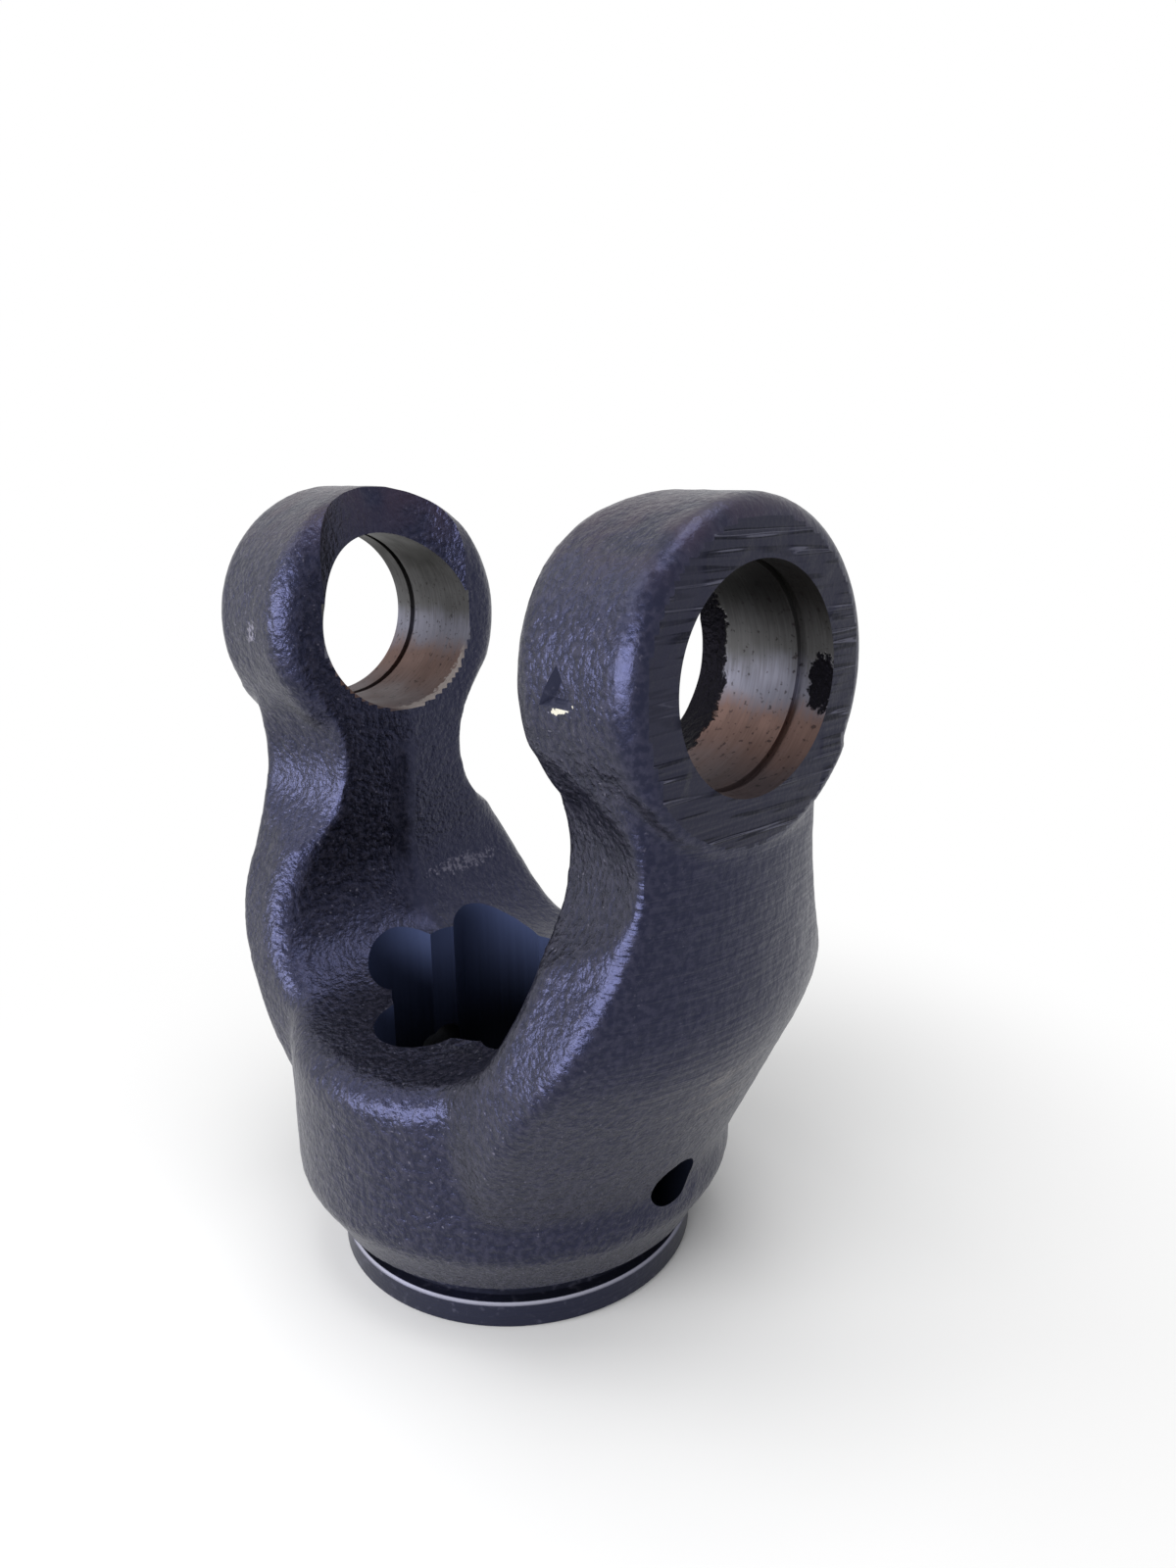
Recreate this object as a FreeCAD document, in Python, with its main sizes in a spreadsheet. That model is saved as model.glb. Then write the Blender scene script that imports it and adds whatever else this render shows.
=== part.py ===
import FreeCAD, Part
import math
import os
import Sketcher

# Forged drive-shaft yoke, one solid. The shaft axis is Z, the cross-bore axis lies along X,
# and the origin is the middle of the flange's bottom face. Millimetres and degrees.

driving = [
    ("bore_diameter", 35.0, "bearing cup bore through both ears"),
    ("bore_height", 119.8, "cross-bore axis above the bottom face"),
    ("ring_span", 106.5, "between the inner walls of the two snap ring grooves"),
    ("ring_width", 1.9, "width of a snap ring groove"),
    ("ring_depth", 0.9, "depth of a snap ring groove"),
    ("ring_cover", 7.0, "from a groove's inner wall out to the land"),
    ("ear_wall", 28.95, "thickness of an ear along its bore"),
    ("ear_rim", 9.3, "width of an ear round its bore"),
    ("land_edge", 2.0, "rounding of a land's rim"),
    ("land_lift", 0.45, "lands proud of the arms"),
    ("shoulder_height", 70.0, "where the arms reach the swing radius"),
    ("shoulder_blend", 35.0, "rounding from the cone to the swing radius"),
    ("shoulder_slope", 25.0, "cone under the shoulder, from the axis"),
    ("waist_inset", 5.7, "waist of an arm inside the ear's outline"),
    ("waist_drop", 24.8, "waist under the bore axis"),
    ("hip_inset", 8.4, "hip of an arm inside the hub's outline"),
    ("hip_height", 46.0, "height of the widest place"),
    ("hip_curve", 50.0, "rounding above the hip"),
    ("skirt_curve", 48.0, "rounding below the hip"),
    ("corner_blend", 3.0, "rounding of an arm's outer corners"),
    ("arm_wall", 26.3, "thickness of an arm just above the valley floor"),
    ("valley_floor", 53.0, "floor between the arms at the middle plane"),
    ("valley_curve", 20.0, "rounding between floor and arms"),
    ("forging_draft", 5.5, "draft of the valley away from the middle plane"),
    ("rim_blend", 5.5, "rounding of the valley's rim"),
    ("scoop_radius", 30.5, "scoop that narrows the waist inside, on the middle plane"),
    ("scoop_gap", 5.5, "from the middle plane to a scoop"),
    ("scoop_drop", 27.3, "scoop's axis under the bore axis"),
    ("scoop_draft", 15.0, "draft of the scoop toward the outside"),
    ("relief_wall", 21.65, "ear outside the clearance turned above the bores"),
    ("relief_slope", 6.5, "lean of the clearance, from the axis"),
    ("relief_lift", 6.0, "start of the clearance above the bore axis"),
    ("hub_step", 16.4, "hub inside the swing radius of the arms"),
    ("hub_foot", 21.5, "height where the hub reaches its full diameter"),
    ("hub_cover", 7.0, "hub above the valley floor before the valley is cut"),
    ("hub_flare", 7.0, "rounding between the cone and the hub"),
    ("cone_step", 5.7, "lower end of the hub's cone inside the hub"),
    ("band_height", 10.5, "height of the cone's lower end"),
    ("collar_step", 2.3, "bottom flange inside the cone's lower end"),
    ("collar_height", 5.3, "thickness of the bottom flange"),
    ("groove_depth", 2.4, "groove between flange and hub, from the flange"),
    ("edge_break", 0.5, "broken edges of flange and bore"),
    ("foot_blend", 6.0, "rounding where an arm meets the hub"),
    ("star_wall", 2.5, "wall between the groove's floor and a lobe of the star bore"),
    ("star_depth", 6.8, "depth of a lobe from rib to crest"),
    ("rib_width", 5.96, "width of a rib between two lobes"),
    ("pin_diameter", 10.0, "locking pin hole across the hub"),
    ("pin_height", 28.2, "its axis above the bottom face"),
]
lobes = 6

# Sizes that follow from the driving ones: the cross sets the ears, and the ears set arms and hub.
following = [
    ("ear_span", "dims.ring_span + 2 * dims.ring_cover"),
    ("ear_gap", "sizes.ear_span - 2 * dims.ear_wall"),
    ("ear_radius", "dims.bore_diameter / 2 + dims.ear_rim"),
    ("ear_foot", "dims.bore_height - dims.bore_diameter / 2"),
    ("swing_radius", "sizes.ear_span / 2 - dims.land_lift"),
    ("relief_radius", "sizes.ear_span / 2 - dims.relief_wall"),
    ("hub_diameter", "2 * (sizes.swing_radius - dims.hub_step)"),
    ("hub_top", "dims.valley_floor + dims.hub_cover"),
    ("band_diameter", "sizes.hub_diameter - 2 * dims.cone_step"),
    ("collar_diameter", "sizes.band_diameter - 2 * dims.collar_step"),
    ("neck_diameter", "sizes.collar_diameter - 2 * dims.groove_depth"),
    ("waist_width", "2 * (sizes.ear_radius - dims.waist_inset)"),
    ("waist_height", "dims.bore_height - dims.waist_drop"),
    ("hip_width", "sizes.hub_diameter - 2 * dims.hip_inset"),
    ("hip_reach", "(sizes.hip_width - sizes.waist_width) / 2"),
    ("hip_run", "(sizes.hip_reach ^ 2 + (sizes.waist_height - dims.hip_height) ^ 2) / 2 / sizes.hip_reach"),
    ("hip_blend", "min(dims.hip_curve; 0.6 * sizes.hip_run)"),
    ("valley_width", "2 * (sizes.swing_radius - dims.arm_wall)"),
    ("valley_blend", "min(dims.valley_curve; 0.6 * (sizes.ear_foot - dims.valley_floor))"),
    ("scoop_offset", "dims.scoop_radius + dims.scoop_gap"),
    ("scoop_height", "dims.bore_height - dims.scoop_drop"),
    ("star_crest", "sizes.neck_diameter / 2 - dims.star_wall"),
    ("star_root", "sizes.star_crest - dims.star_depth"),
    ("star_turn", f"180 / {lobes} - asin(dims.rib_width / 2 / sizes.star_root) / 1 deg"),
    ("star_rise", "sizes.star_crest - sizes.star_root * cos(sizes.star_turn * 1 deg)"),
    ("star_reach", "(sizes.star_crest ^ 2 - sizes.star_root ^ 2) / 2 / sizes.star_rise"),
    ("star_lobe", "sizes.star_crest - sizes.star_reach"),
]

doc = FreeCAD.newDocument("forged_yoke")
sheet = doc.addObject("Spreadsheet::Sheet", "dims")
for row, (name, number, meaning) in enumerate(driving, start=1):
    sheet.set(f"A{row}", name)
    sheet.set(f"B{row}", str(number))
    sheet.set(f"C{row}", meaning)
    sheet.setAlias(f"B{row}", name)
sizes = doc.addObject("App::VarSet", "sizes")
for name, formula in following:
    sizes.addProperty("App::PropertyFloat", name)
    sizes.setExpression(name, formula)
doc.recompute()

body = doc.addObject("PartDesign::Body", "yoke")
body.Label = "yoke"


def dim(name):
    """Value of a driving size or of one that follows."""
    if name in sizes.PropertiesList:
        return getattr(sizes, name)
    return float(sheet.get(name))


def half(name):
    return dim(name) / 2


def new_sketch(name, role):
    """Sketch on one of the body's own origin planes."""
    sketch = body.newObject("Sketcher::SketchObject", name)
    plane = [item for item in body.Origin.OriginFeatures if item.Role == role][0]
    sketch.AttachmentSupport = [(plane, "")]
    sketch.MapMode = "FlatFace"
    return sketch


def on_circle(centre, reach, angle):
    """Point of a circle at an angle in degrees."""
    turn = math.radians(angle)
    return (centre[0] + reach * math.cos(turn), centre[1] + reach * math.sin(turn))


def toward(start, end):
    """Angle in degrees of the direction from one point to another."""
    return math.degrees(math.atan2(end[1] - start[1], end[0] - start[0]))


class Outline:
    """Closed outline in a sketch, drawn edge by edge and then tied to the sheet."""

    def __init__(self, sketch, start):
        self.sketch = sketch
        self.here = start
        self.edges = []
        self.ends = []

    def line(self, end):
        curve = Part.LineSegment(FreeCAD.Vector(*self.here, 0), FreeCAD.Vector(*end, 0))
        return self.keep(curve, 1, 2, end)

    def arc(self, centre, reach, first, last):
        """Arc from one angle to another, in degrees, either way round."""
        low, high = sorted((math.radians(first), math.radians(last)))
        circle = Part.Circle(FreeCAD.Vector(*centre, 0), FreeCAD.Vector(0, 0, 1), reach)
        curve = Part.ArcOfCircle(circle, low, high)
        forward = last > first
        ends = (1, 2) if forward else (2, 1)
        return self.keep(curve, *ends, on_circle(centre, reach, last))

    def keep(self, curve, start, end, here):
        self.edges.append(self.sketch.addGeometry(curve, False))
        self.ends.append((start, end))
        self.here = here
        return len(self.edges) - 1

    def close(self, smooth=()):
        """Joins each edge to the one before it, tangent for the places named in smooth."""
        for place, edge in enumerate(self.edges):
            before = self.edges[place - 1]
            kind = "Tangent" if place in smooth else "Coincident"
            spots = (before, self.ends[place - 1][1], edge, self.ends[place][0])
            self.sketch.addConstraint(Sketcher.Constraint(kind, *spots))

    def level(self, *places):
        for place in places:
            self.sketch.addConstraint(Sketcher.Constraint("Horizontal", self.edges[place]))

    def upright(self, *places):
        for place in places:
            self.sketch.addConstraint(Sketcher.Constraint("Vertical", self.edges[place]))

    def tie(self, constraint, formula):
        number = self.sketch.addConstraint(constraint)
        self.sketch.setExpression(f"Constraints[{number}]", formula)

    def spot(self, place, which):
        """Number of an edge's start, end or centre in the sketch."""
        return {"start": self.ends[place][0], "end": self.ends[place][1], "centre": 3}[which]

    def across(self, place, which, formula):
        point = self.spot(place, which)
        value = self.sketch.getPoint(self.edges[place], point).x
        kind = Sketcher.Constraint("DistanceX", -1, 1, self.edges[place], point, value)
        self.tie(kind, formula)

    def up(self, place, which, formula):
        point = self.spot(place, which)
        value = self.sketch.getPoint(self.edges[place], point).y
        kind = Sketcher.Constraint("DistanceY", -1, 1, self.edges[place], point, value)
        self.tie(kind, formula)

    def radius(self, place, formula):
        value = self.sketch.Geometry[self.edges[place]].Radius
        self.tie(Sketcher.Constraint("Radius", self.edges[place], value), formula)

    def equal(self, place, other):
        pair = (self.edges[place], self.edges[other])
        self.sketch.addConstraint(Sketcher.Constraint("Equal", *pair))


volumes = []


def settle(feature, change):
    """Recomputes and makes sure that a feature added or removed material."""
    doc.recompute()
    if "Invalid" in feature.State or "Error" in feature.State:
        raise RuntimeError(f"{feature.Name} failed: {feature.State}")
    volume = feature.Shape.Volume
    before = volumes[-1] if volumes else 0
    if change * (volume - before) <= 0:
        raise RuntimeError(f"{feature.Name} changed nothing: {before} to {volume}")
    volumes.append(volume)
    print(feature.Name, round(volume), feature.Shape.isValid(), len(feature.Shape.Solids))
    return feature


def turn(kind, name, sketch, axis, change):
    """Revolution or groove of a sketch right round an axis of that sketch."""
    feature = body.newObject(f"PartDesign::{kind}", name)
    feature.Profile = sketch
    feature.ReferenceAxis = (sketch, [axis])
    feature.Angle = 360.0
    return settle(feature, change)


def cut_through(name, sketch):
    """Pocket to both sides of its sketch, right through."""
    feature = body.newObject("PartDesign::Pocket", name)
    feature.Profile = sketch
    feature.Type = "ThroughAll"
    feature.SideType = "Symmetric"
    return settle(feature, -1)


def round_edges(name, base, chosen, alias):
    """Fillet of the edges of a feature that a test picks out."""
    edges = enumerate(base.Shape.Edges, start=1)
    picked = [f"Edge{place}" for place, edge in edges if chosen(edge)]
    print(name, len(picked), "edges")
    feature = body.newObject("PartDesign::Fillet", name)
    feature.Base = (base, picked)
    feature.setExpression("Radius", f"dims.{alias}")
    return feature


def samples(edge):
    """Points along an edge, its ends left out."""
    first, last = edge.ParameterRange
    return [edge.valueAt(first + (last - first) * share) for share in (0.1, 0.3, 0.5, 0.7, 0.9)]


# Swing body: a cone that leaves the hub and rounds over to the swing radius of the arms.
swing = dim("swing_radius")
shoulder = dim("shoulder_height")
blend = dim("shoulder_blend")
slope = dim("shoulder_slope")
arms_top = dim("bore_height") + dim("ear_radius")
foot = dim("hub_foot")
blend_centre = (swing - blend, shoulder)
blend_start = on_circle(blend_centre, blend, -slope)
foot_radius = blend_start[0] - (blend_start[1] - foot) * math.tan(math.radians(slope))
sketch = new_sketch("swing_outline", "XZ_Plane")
outline = Outline(sketch, (0, foot))
outline.line((foot_radius, foot))
outline.line(blend_start)
outline.arc(blend_centre, blend, -slope, 0)
outline.line((swing, arms_top))
outline.line((0, arms_top))
outline.line((0, foot))
outline.close(smooth=(2, 3))
outline.level(0, 4)
outline.upright(3, 5)
outline.across(0, "start", "0 mm")
outline.up(0, "start", "dims.hub_foot * 1 mm")
outline.radius(2, "dims.shoulder_blend * 1 mm")
outline.across(3, "start", "sizes.swing_radius * 1 mm")
outline.up(3, "start", "dims.shoulder_height * 1 mm")
outline.up(3, "end", "(dims.bore_height + sizes.ear_radius) * 1 mm")
blend_reach = "dims.shoulder_blend * (1 - cos(dims.shoulder_slope * 1 deg))"
outline.across(1, "end", f"(sizes.swing_radius - {blend_reach}) * 1 mm")
swing_body = turn("Revolution", "swing_body", sketch, "V_Axis", 1)


def swing_reach(height):
    """Radius of the swing body at a height."""
    if height >= shoulder:
        return swing
    if height >= blend_start[1]:
        return blend_centre[0] + math.sqrt(blend**2 - (shoulder - height) ** 2)
    return blend_start[0] - (blend_start[1] - height) * math.tan(math.radians(slope))


# Side outline of the arms: hip, waist and ear in one row of tangent arcs, cut along X.
hip = half("hip_width")
hip_height = dim("hip_height")
hip_blend = dim("hip_blend")
skirt = dim("skirt_curve")
waist = half("waist_width")
waist_height = dim("waist_height")
ear = dim("ear_radius")
bore_height = dim("bore_height")
low_blend = dim("hip_run") - hip_blend
rise = bore_height - waist_height
high_blend = (waist**2 + rise**2 - ear**2) / (2 * (ear - waist))
skirt_centre = (hip - skirt, hip_height)
hip_centre = (hip - hip_blend, hip_height)
low_centre = (waist + low_blend, waist_height)
high_centre = (waist + high_blend, waist_height)
ear_centre = (0, bore_height)
low_turn = toward(hip_centre, low_centre)
high_turn = toward(ear_centre, high_centre)
margin = 10
sketch = new_sketch("arm_outline", "YZ_Plane")
frame = Outline(sketch, (-swing - margin, foot - margin))
frame.line((swing + margin, foot - margin))
frame.line((swing + margin, arms_top + margin))
frame.line((-swing - margin, arms_top + margin))
frame.line((-swing - margin, foot - margin))
frame.close()
frame.level(0, 2)
frame.upright(1, 3)
frame.across(0, "start", f"-(sizes.swing_radius + {margin}) * 1 mm")
frame.across(0, "end", f"(sizes.swing_radius + {margin}) * 1 mm")
frame.up(0, "start", f"(dims.hub_foot - {margin}) * 1 mm")
frame.up(2, "start", f"(dims.bore_height + sizes.ear_radius + {margin}) * 1 mm")
low_end = -math.degrees(math.asin((hip_height - foot + margin / 2) / skirt))
outline = Outline(sketch, on_circle(skirt_centre, skirt, low_end))
outline.arc(skirt_centre, skirt, low_end, 0)
outline.arc(hip_centre, hip_blend, 0, low_turn)
outline.arc(low_centre, low_blend, 180 + low_turn, 180)
outline.arc(high_centre, high_blend, 180, 180 + high_turn)
outline.arc(ear_centre, ear, high_turn, 180 - high_turn)
outline.arc((-high_centre[0], waist_height), high_blend, -high_turn, 0)
outline.arc((-low_centre[0], waist_height), low_blend, 0, -low_turn)
outline.arc((-hip_centre[0], hip_height), hip_blend, 180 - low_turn, 180)
outline.arc((-skirt_centre[0], hip_height), skirt, 180, 180 - low_end)
outline.line(on_circle(skirt_centre, skirt, low_end))
outline.close(smooth=(2, 3, 4, 5, 6, 7))
outline.level(9)
outline.up(0, "start", f"(dims.hub_foot - {margin / 2}) * 1 mm")
roundings = {0: "dims.skirt_curve", 1: "sizes.hip_blend", 7: "sizes.hip_blend", 8: "dims.skirt_curve"}
for place, alias in roundings.items():
    outline.radius(place, f"{alias} * 1 mm")
    outline.up(place, "centre", "dims.hip_height * 1 mm")
for place, side in ((1, ""), (8, "-")):
    outline.across(place, "start", f"{side}sizes.hip_width / 2 * 1 mm")
    outline.up(place, "start", "dims.hip_height * 1 mm")
for place, waist_end, side in ((2, 3, ""), (6, 6, "-")):
    outline.up(place, "centre", "sizes.waist_height * 1 mm")
    outline.across(waist_end, "start", f"{side}sizes.waist_width / 2 * 1 mm")
    outline.up(waist_end, "start", "sizes.waist_height * 1 mm")
outline.across(4, "centre", "0 mm")
outline.up(4, "centre", "dims.bore_height * 1 mm")
outline.radius(4, "sizes.ear_radius * 1 mm")
arm_sides = cut_through("arm_sides", sketch)


def outer_corner(edge):
    """Edge where an arm's side meets its outer face."""
    points = samples(edge)
    on_face = [abs(math.hypot(p.x, p.y) - swing_reach(p.z)) < 0.01 for p in points]
    return all(on_face) and min(p.z for p in points) > foot + 0.1


corners = round_edges("arm_corners", arm_sides, outer_corner, "corner_blend")
settle(corners, -1)

# Hub with its cone, the groove above the bottom flange and the flange, turned round the shaft axis.
hub = half("hub_diameter")
hub_top = dim("hub_top")
flare = dim("hub_flare")
band = (half("band_diameter"), dim("band_height"))
collar = half("collar_diameter")
collar_height = dim("collar_height")
neck = half("neck_diameter")
edge_break = dim("edge_break")
flare_centre = (hub - flare, foot)
span = math.dist(band, flare_centre)
lean = toward(band, flare_centre) - math.degrees(math.asin(flare / span))
flare_start = on_circle(flare_centre, flare, lean - 90)
sketch = new_sketch("hub_outline", "XZ_Plane")
outline = Outline(sketch, (0, 0))
outline.line((collar - edge_break, 0))
outline.line((collar, edge_break))
outline.line((collar, collar_height - edge_break))
outline.line((collar - edge_break, collar_height))
outline.line((neck, collar_height))
outline.line((neck, band[1]))
outline.line(band)
outline.line(flare_start)
outline.arc(flare_centre, flare, lean - 90, 0)
outline.line((hub, hub_top))
outline.line((0, hub_top))
outline.line((0, 0))
outline.close(smooth=(8, 9))
outline.level(0, 4, 6, 10)
outline.upright(2, 5, 9, 11)
outline.across(0, "start", "0 mm")
outline.up(0, "start", "0 mm")
outline.across(0, "end", "(sizes.collar_diameter / 2 - dims.edge_break) * 1 mm")
outline.across(1, "end", "sizes.collar_diameter / 2 * 1 mm")
outline.up(1, "end", "dims.edge_break * 1 mm")
outline.up(2, "end", "(dims.collar_height - dims.edge_break) * 1 mm")
outline.across(3, "end", "(sizes.collar_diameter / 2 - dims.edge_break) * 1 mm")
outline.up(3, "end", "dims.collar_height * 1 mm")
outline.across(4, "end", "sizes.neck_diameter / 2 * 1 mm")
outline.across(6, "end", "sizes.band_diameter / 2 * 1 mm")
outline.up(6, "end", "dims.band_height * 1 mm")
outline.radius(8, "dims.hub_flare * 1 mm")
outline.across(9, "start", "sizes.hub_diameter / 2 * 1 mm")
outline.up(9, "start", "dims.hub_foot * 1 mm")
outline.up(9, "end", "sizes.hub_top * 1 mm")
hub_body = turn("Revolution", "hub", sketch, "V_Axis", 1)

# Ears: a round boss about the bore axis, its lands a little proud of the arms.
land = half("ear_span")
edge = dim("land_edge")
sketch = new_sketch("ear_outline", "XZ_Plane")
outline = Outline(sketch, (-land, bore_height))
outline.line((land, bore_height))
outline.line((land, arms_top - edge))
outline.arc((land - edge, arms_top - edge), edge, 0, 90)
outline.line((edge - land, arms_top))
outline.arc((edge - land, arms_top - edge), edge, 90, 180)
outline.line((-land, bore_height))
outline.close(smooth=(2, 3, 4, 5))
outline.level(0, 3)
outline.upright(1, 5)
outline.across(0, "start", "-sizes.ear_span / 2 * 1 mm")
outline.across(0, "end", "sizes.ear_span / 2 * 1 mm")
outline.up(0, "start", "dims.bore_height * 1 mm")
outline.up(3, "start", "(dims.bore_height + sizes.ear_radius) * 1 mm")
outline.radius(2, "dims.land_edge * 1 mm")
outline.radius(4, "dims.land_edge * 1 mm")
ears = turn("Revolution", "ears", sketch, "Edge1", 1)

# Valley between the arms, drafted to both sides of the forging's middle plane.
wall = half("valley_width")
valley_floor = dim("valley_floor")
valley_blend = dim("valley_blend")
gap = half("ear_gap")
corner_centre = (wall - valley_blend, valley_floor + valley_blend)
ear_foot = dim("ear_foot")
span = math.dist(corner_centre, (gap, ear_foot))
lean = toward(corner_centre, (gap, ear_foot)) - math.degrees(math.acos(valley_blend / span))
cut_top = arms_top + margin
sketch = new_sketch("valley_outline", "XZ_Plane")
outline = Outline(sketch, (-gap, cut_top))
outline.line((-gap, ear_foot))
outline.line(on_circle((-corner_centre[0], corner_centre[1]), valley_blend, 180 - lean))
outline.arc((-corner_centre[0], corner_centre[1]), valley_blend, 180 - lean, 270)
outline.line((corner_centre[0], valley_floor))
outline.arc(corner_centre, valley_blend, -90, lean)
outline.line((gap, ear_foot))
outline.line((gap, cut_top))
outline.line((-gap, cut_top))
outline.close(smooth=(2, 3, 4, 5))
outline.upright(0, 6)
outline.level(3, 7)
outline.across(0, "start", "-sizes.ear_gap / 2 * 1 mm")
outline.across(6, "start", "sizes.ear_gap / 2 * 1 mm")
outline.up(0, "end", "sizes.ear_foot * 1 mm")
outline.up(6, "start", "sizes.ear_foot * 1 mm")
outline.up(0, "start", f"(dims.bore_height + sizes.ear_radius + {margin}) * 1 mm")
outline.up(3, "start", "dims.valley_floor * 1 mm")
outline.radius(2, "sizes.valley_blend * 1 mm")
outline.radius(4, "sizes.valley_blend * 1 mm")
outline.across(2, "centre", "(sizes.valley_blend - sizes.valley_width / 2) * 1 mm")
outline.across(4, "centre", "(sizes.valley_width / 2 - sizes.valley_blend) * 1 mm")
valley = body.newObject("PartDesign::Pocket", "valley")
valley.Profile = sketch
valley.SideType = "Two sides"
valley.Type = "Length"
valley.Type2 = "Length"
valley.setExpression("Length", f"(sizes.swing_radius + {margin}) * 1 mm")
valley.setExpression("Length2", f"(sizes.swing_radius + {margin}) * 1 mm")
valley.setExpression("TaperAngle", "dims.forging_draft * 1 deg")
valley.setExpression("TaperAngle2", "dims.forging_draft * 1 deg")
settle(valley, -1)

draft = math.tan(math.radians(dim("forging_draft")))


def valley_depth(point):
    """How far a point lies outside the drafted valley, zero on its surface."""
    across = abs(point.x)
    beside = (across - corner_centre[0], point.z - corner_centre[1])
    if point.z > ear_foot:
        reach = across - gap
    elif beside[0] < 0:
        reach = valley_floor - point.z
    elif toward((0, 0), beside) > lean:
        turn = math.radians(lean)
        reach = beside[0] * math.cos(turn) + beside[1] * math.sin(turn) - valley_blend
    else:
        reach = math.hypot(*beside) - valley_blend
    return reach - abs(point.y) * draft


def in_valley(face):
    """Face of the valley, judged by points spread over it."""
    low, high, left, right = face.ParameterRange
    across = [low + (high - low) * share for share in (0.3, 0.5, 0.7)]
    along = [left + (right - left) * share for share in (0.3, 0.5, 0.7)]
    points = [face.valueAt(a, b) for a in across for b in along]
    return max(abs(valley_depth(point)) for point in points) < 0.3


def neighbours(shape, edge):
    """The faces on both sides of an edge, or None where there aren't two."""
    faces = {face.hashCode(): face for face in shape.ancestorsOfType(edge, Part.Face)}
    return list(faces.values()) if len(faces) == 2 else None


def foot_of_arm(edge):
    """Edge where the arms run into the hub's cylinder, under the valley."""
    if edge.Degenerated or neighbours(valley.Shape, edge) is None:
        return False
    points = samples(edge)
    on_hub = all(abs(math.hypot(p.x, p.y) - hub) < 0.01 for p in points)
    above = min(p.z for p in points) > foot + 0.1
    return on_hub and above and not any(in_valley(face) for face in neighbours(valley.Shape, edge))


arm_feet = round_edges("arm_feet", valley, foot_of_arm, "foot_blend")
settle(arm_feet, 1)


def valley_rim(edge):
    """Edge where the valley breaks through the outside."""
    if edge.Degenerated or neighbours(arm_feet.Shape, edge) is None:
        return False
    return sum(in_valley(face) for face in neighbours(arm_feet.Shape, edge)) == 1


rims = round_edges("valley_rims", arm_feet, valley_rim, "rim_blend")
settle(rims, -1)

# Scoops at the waist: round drafted cuts that narrow the arms toward the valley.
sketch = new_sketch("scoop_outline", "YZ_Plane")
for side, sign in ((1, ""), (-1, "-")):
    centre = FreeCAD.Vector(side * dim("scoop_offset"), dim("scoop_height"), 0)
    curve = Part.Circle(centre, FreeCAD.Vector(0, 0, 1), dim("scoop_radius"))
    circle = sketch.addGeometry(curve, False)
    number = sketch.addConstraint(Sketcher.Constraint("DistanceX", -1, 1, circle, 3, centre.x))
    sketch.setExpression(f"Constraints[{number}]", f"{sign}sizes.scoop_offset * 1 mm")
    number = sketch.addConstraint(Sketcher.Constraint("DistanceY", -1, 1, circle, 3, centre.y))
    sketch.setExpression(f"Constraints[{number}]", "sizes.scoop_height * 1 mm")
    number = sketch.addConstraint(Sketcher.Constraint("Radius", circle, dim("scoop_radius")))
    sketch.setExpression(f"Constraints[{number}]", "dims.scoop_radius * 1 mm")
scoops = body.newObject("PartDesign::Pocket", "waist_scoops")
scoops.Profile = sketch
scoops.SideType = "Two sides"
scoops.Type = "Length"
scoops.Type2 = "Length"
scoops.setExpression("Length", f"(sizes.swing_radius + {margin}) * 1 mm")
scoops.setExpression("Length2", f"(sizes.swing_radius + {margin}) * 1 mm")
scoops.setExpression("TaperAngle", "-dims.scoop_draft * 1 deg")
scoops.setExpression("TaperAngle2", "-dims.scoop_draft * 1 deg")
settle(scoops, -1)

# Clearance above the bores, turned round the shaft axis with a slight lean.
relief_foot = bore_height + dim("relief_lift")
relief = dim("relief_radius")
relief_slope = math.tan(math.radians(dim("relief_slope")))
sketch = new_sketch("relief_outline", "XZ_Plane")
outline = Outline(sketch, (0, relief_foot))
outline.line((relief, relief_foot))
outline.line((relief + (cut_top - relief_foot) * relief_slope, cut_top))
outline.line((0, cut_top))
outline.line((0, relief_foot))
outline.close()
outline.level(0, 2)
outline.upright(3)
outline.across(0, "start", "0 mm")
outline.across(0, "end", "sizes.relief_radius * 1 mm")
outline.up(0, "start", "(dims.bore_height + dims.relief_lift) * 1 mm")
outline.up(1, "end", f"(dims.bore_height + sizes.ear_radius + {margin}) * 1 mm")
relief_lean = f"(sizes.ear_radius + {margin} - dims.relief_lift) * tan(dims.relief_slope * 1 deg)"
outline.across(1, "end", f"(sizes.relief_radius + {relief_lean}) * 1 mm")
clearance = turn("Groove", "relief", sketch, "V_Axis", -1)


def hole(name, role, height, diameter):
    """Round hole through the body, its axis square to an origin plane."""
    sketch = new_sketch(f"{name}_outline", role)
    centre = FreeCAD.Vector(0, dim(height), 0)
    circle = sketch.addGeometry(Part.Circle(centre, FreeCAD.Vector(0, 0, 1), half(diameter)), False)
    sketch.addConstraint(Sketcher.Constraint("PointOnObject", circle, 3, -2))
    number = sketch.addConstraint(Sketcher.Constraint("DistanceY", -1, 1, circle, 3, dim(height)))
    sketch.setExpression(f"Constraints[{number}]", f"dims.{height} * 1 mm")
    number = sketch.addConstraint(Sketcher.Constraint("Diameter", circle, dim(diameter)))
    sketch.setExpression(f"Constraints[{number}]", f"dims.{diameter} * 1 mm")
    return cut_through(name, sketch)


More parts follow.
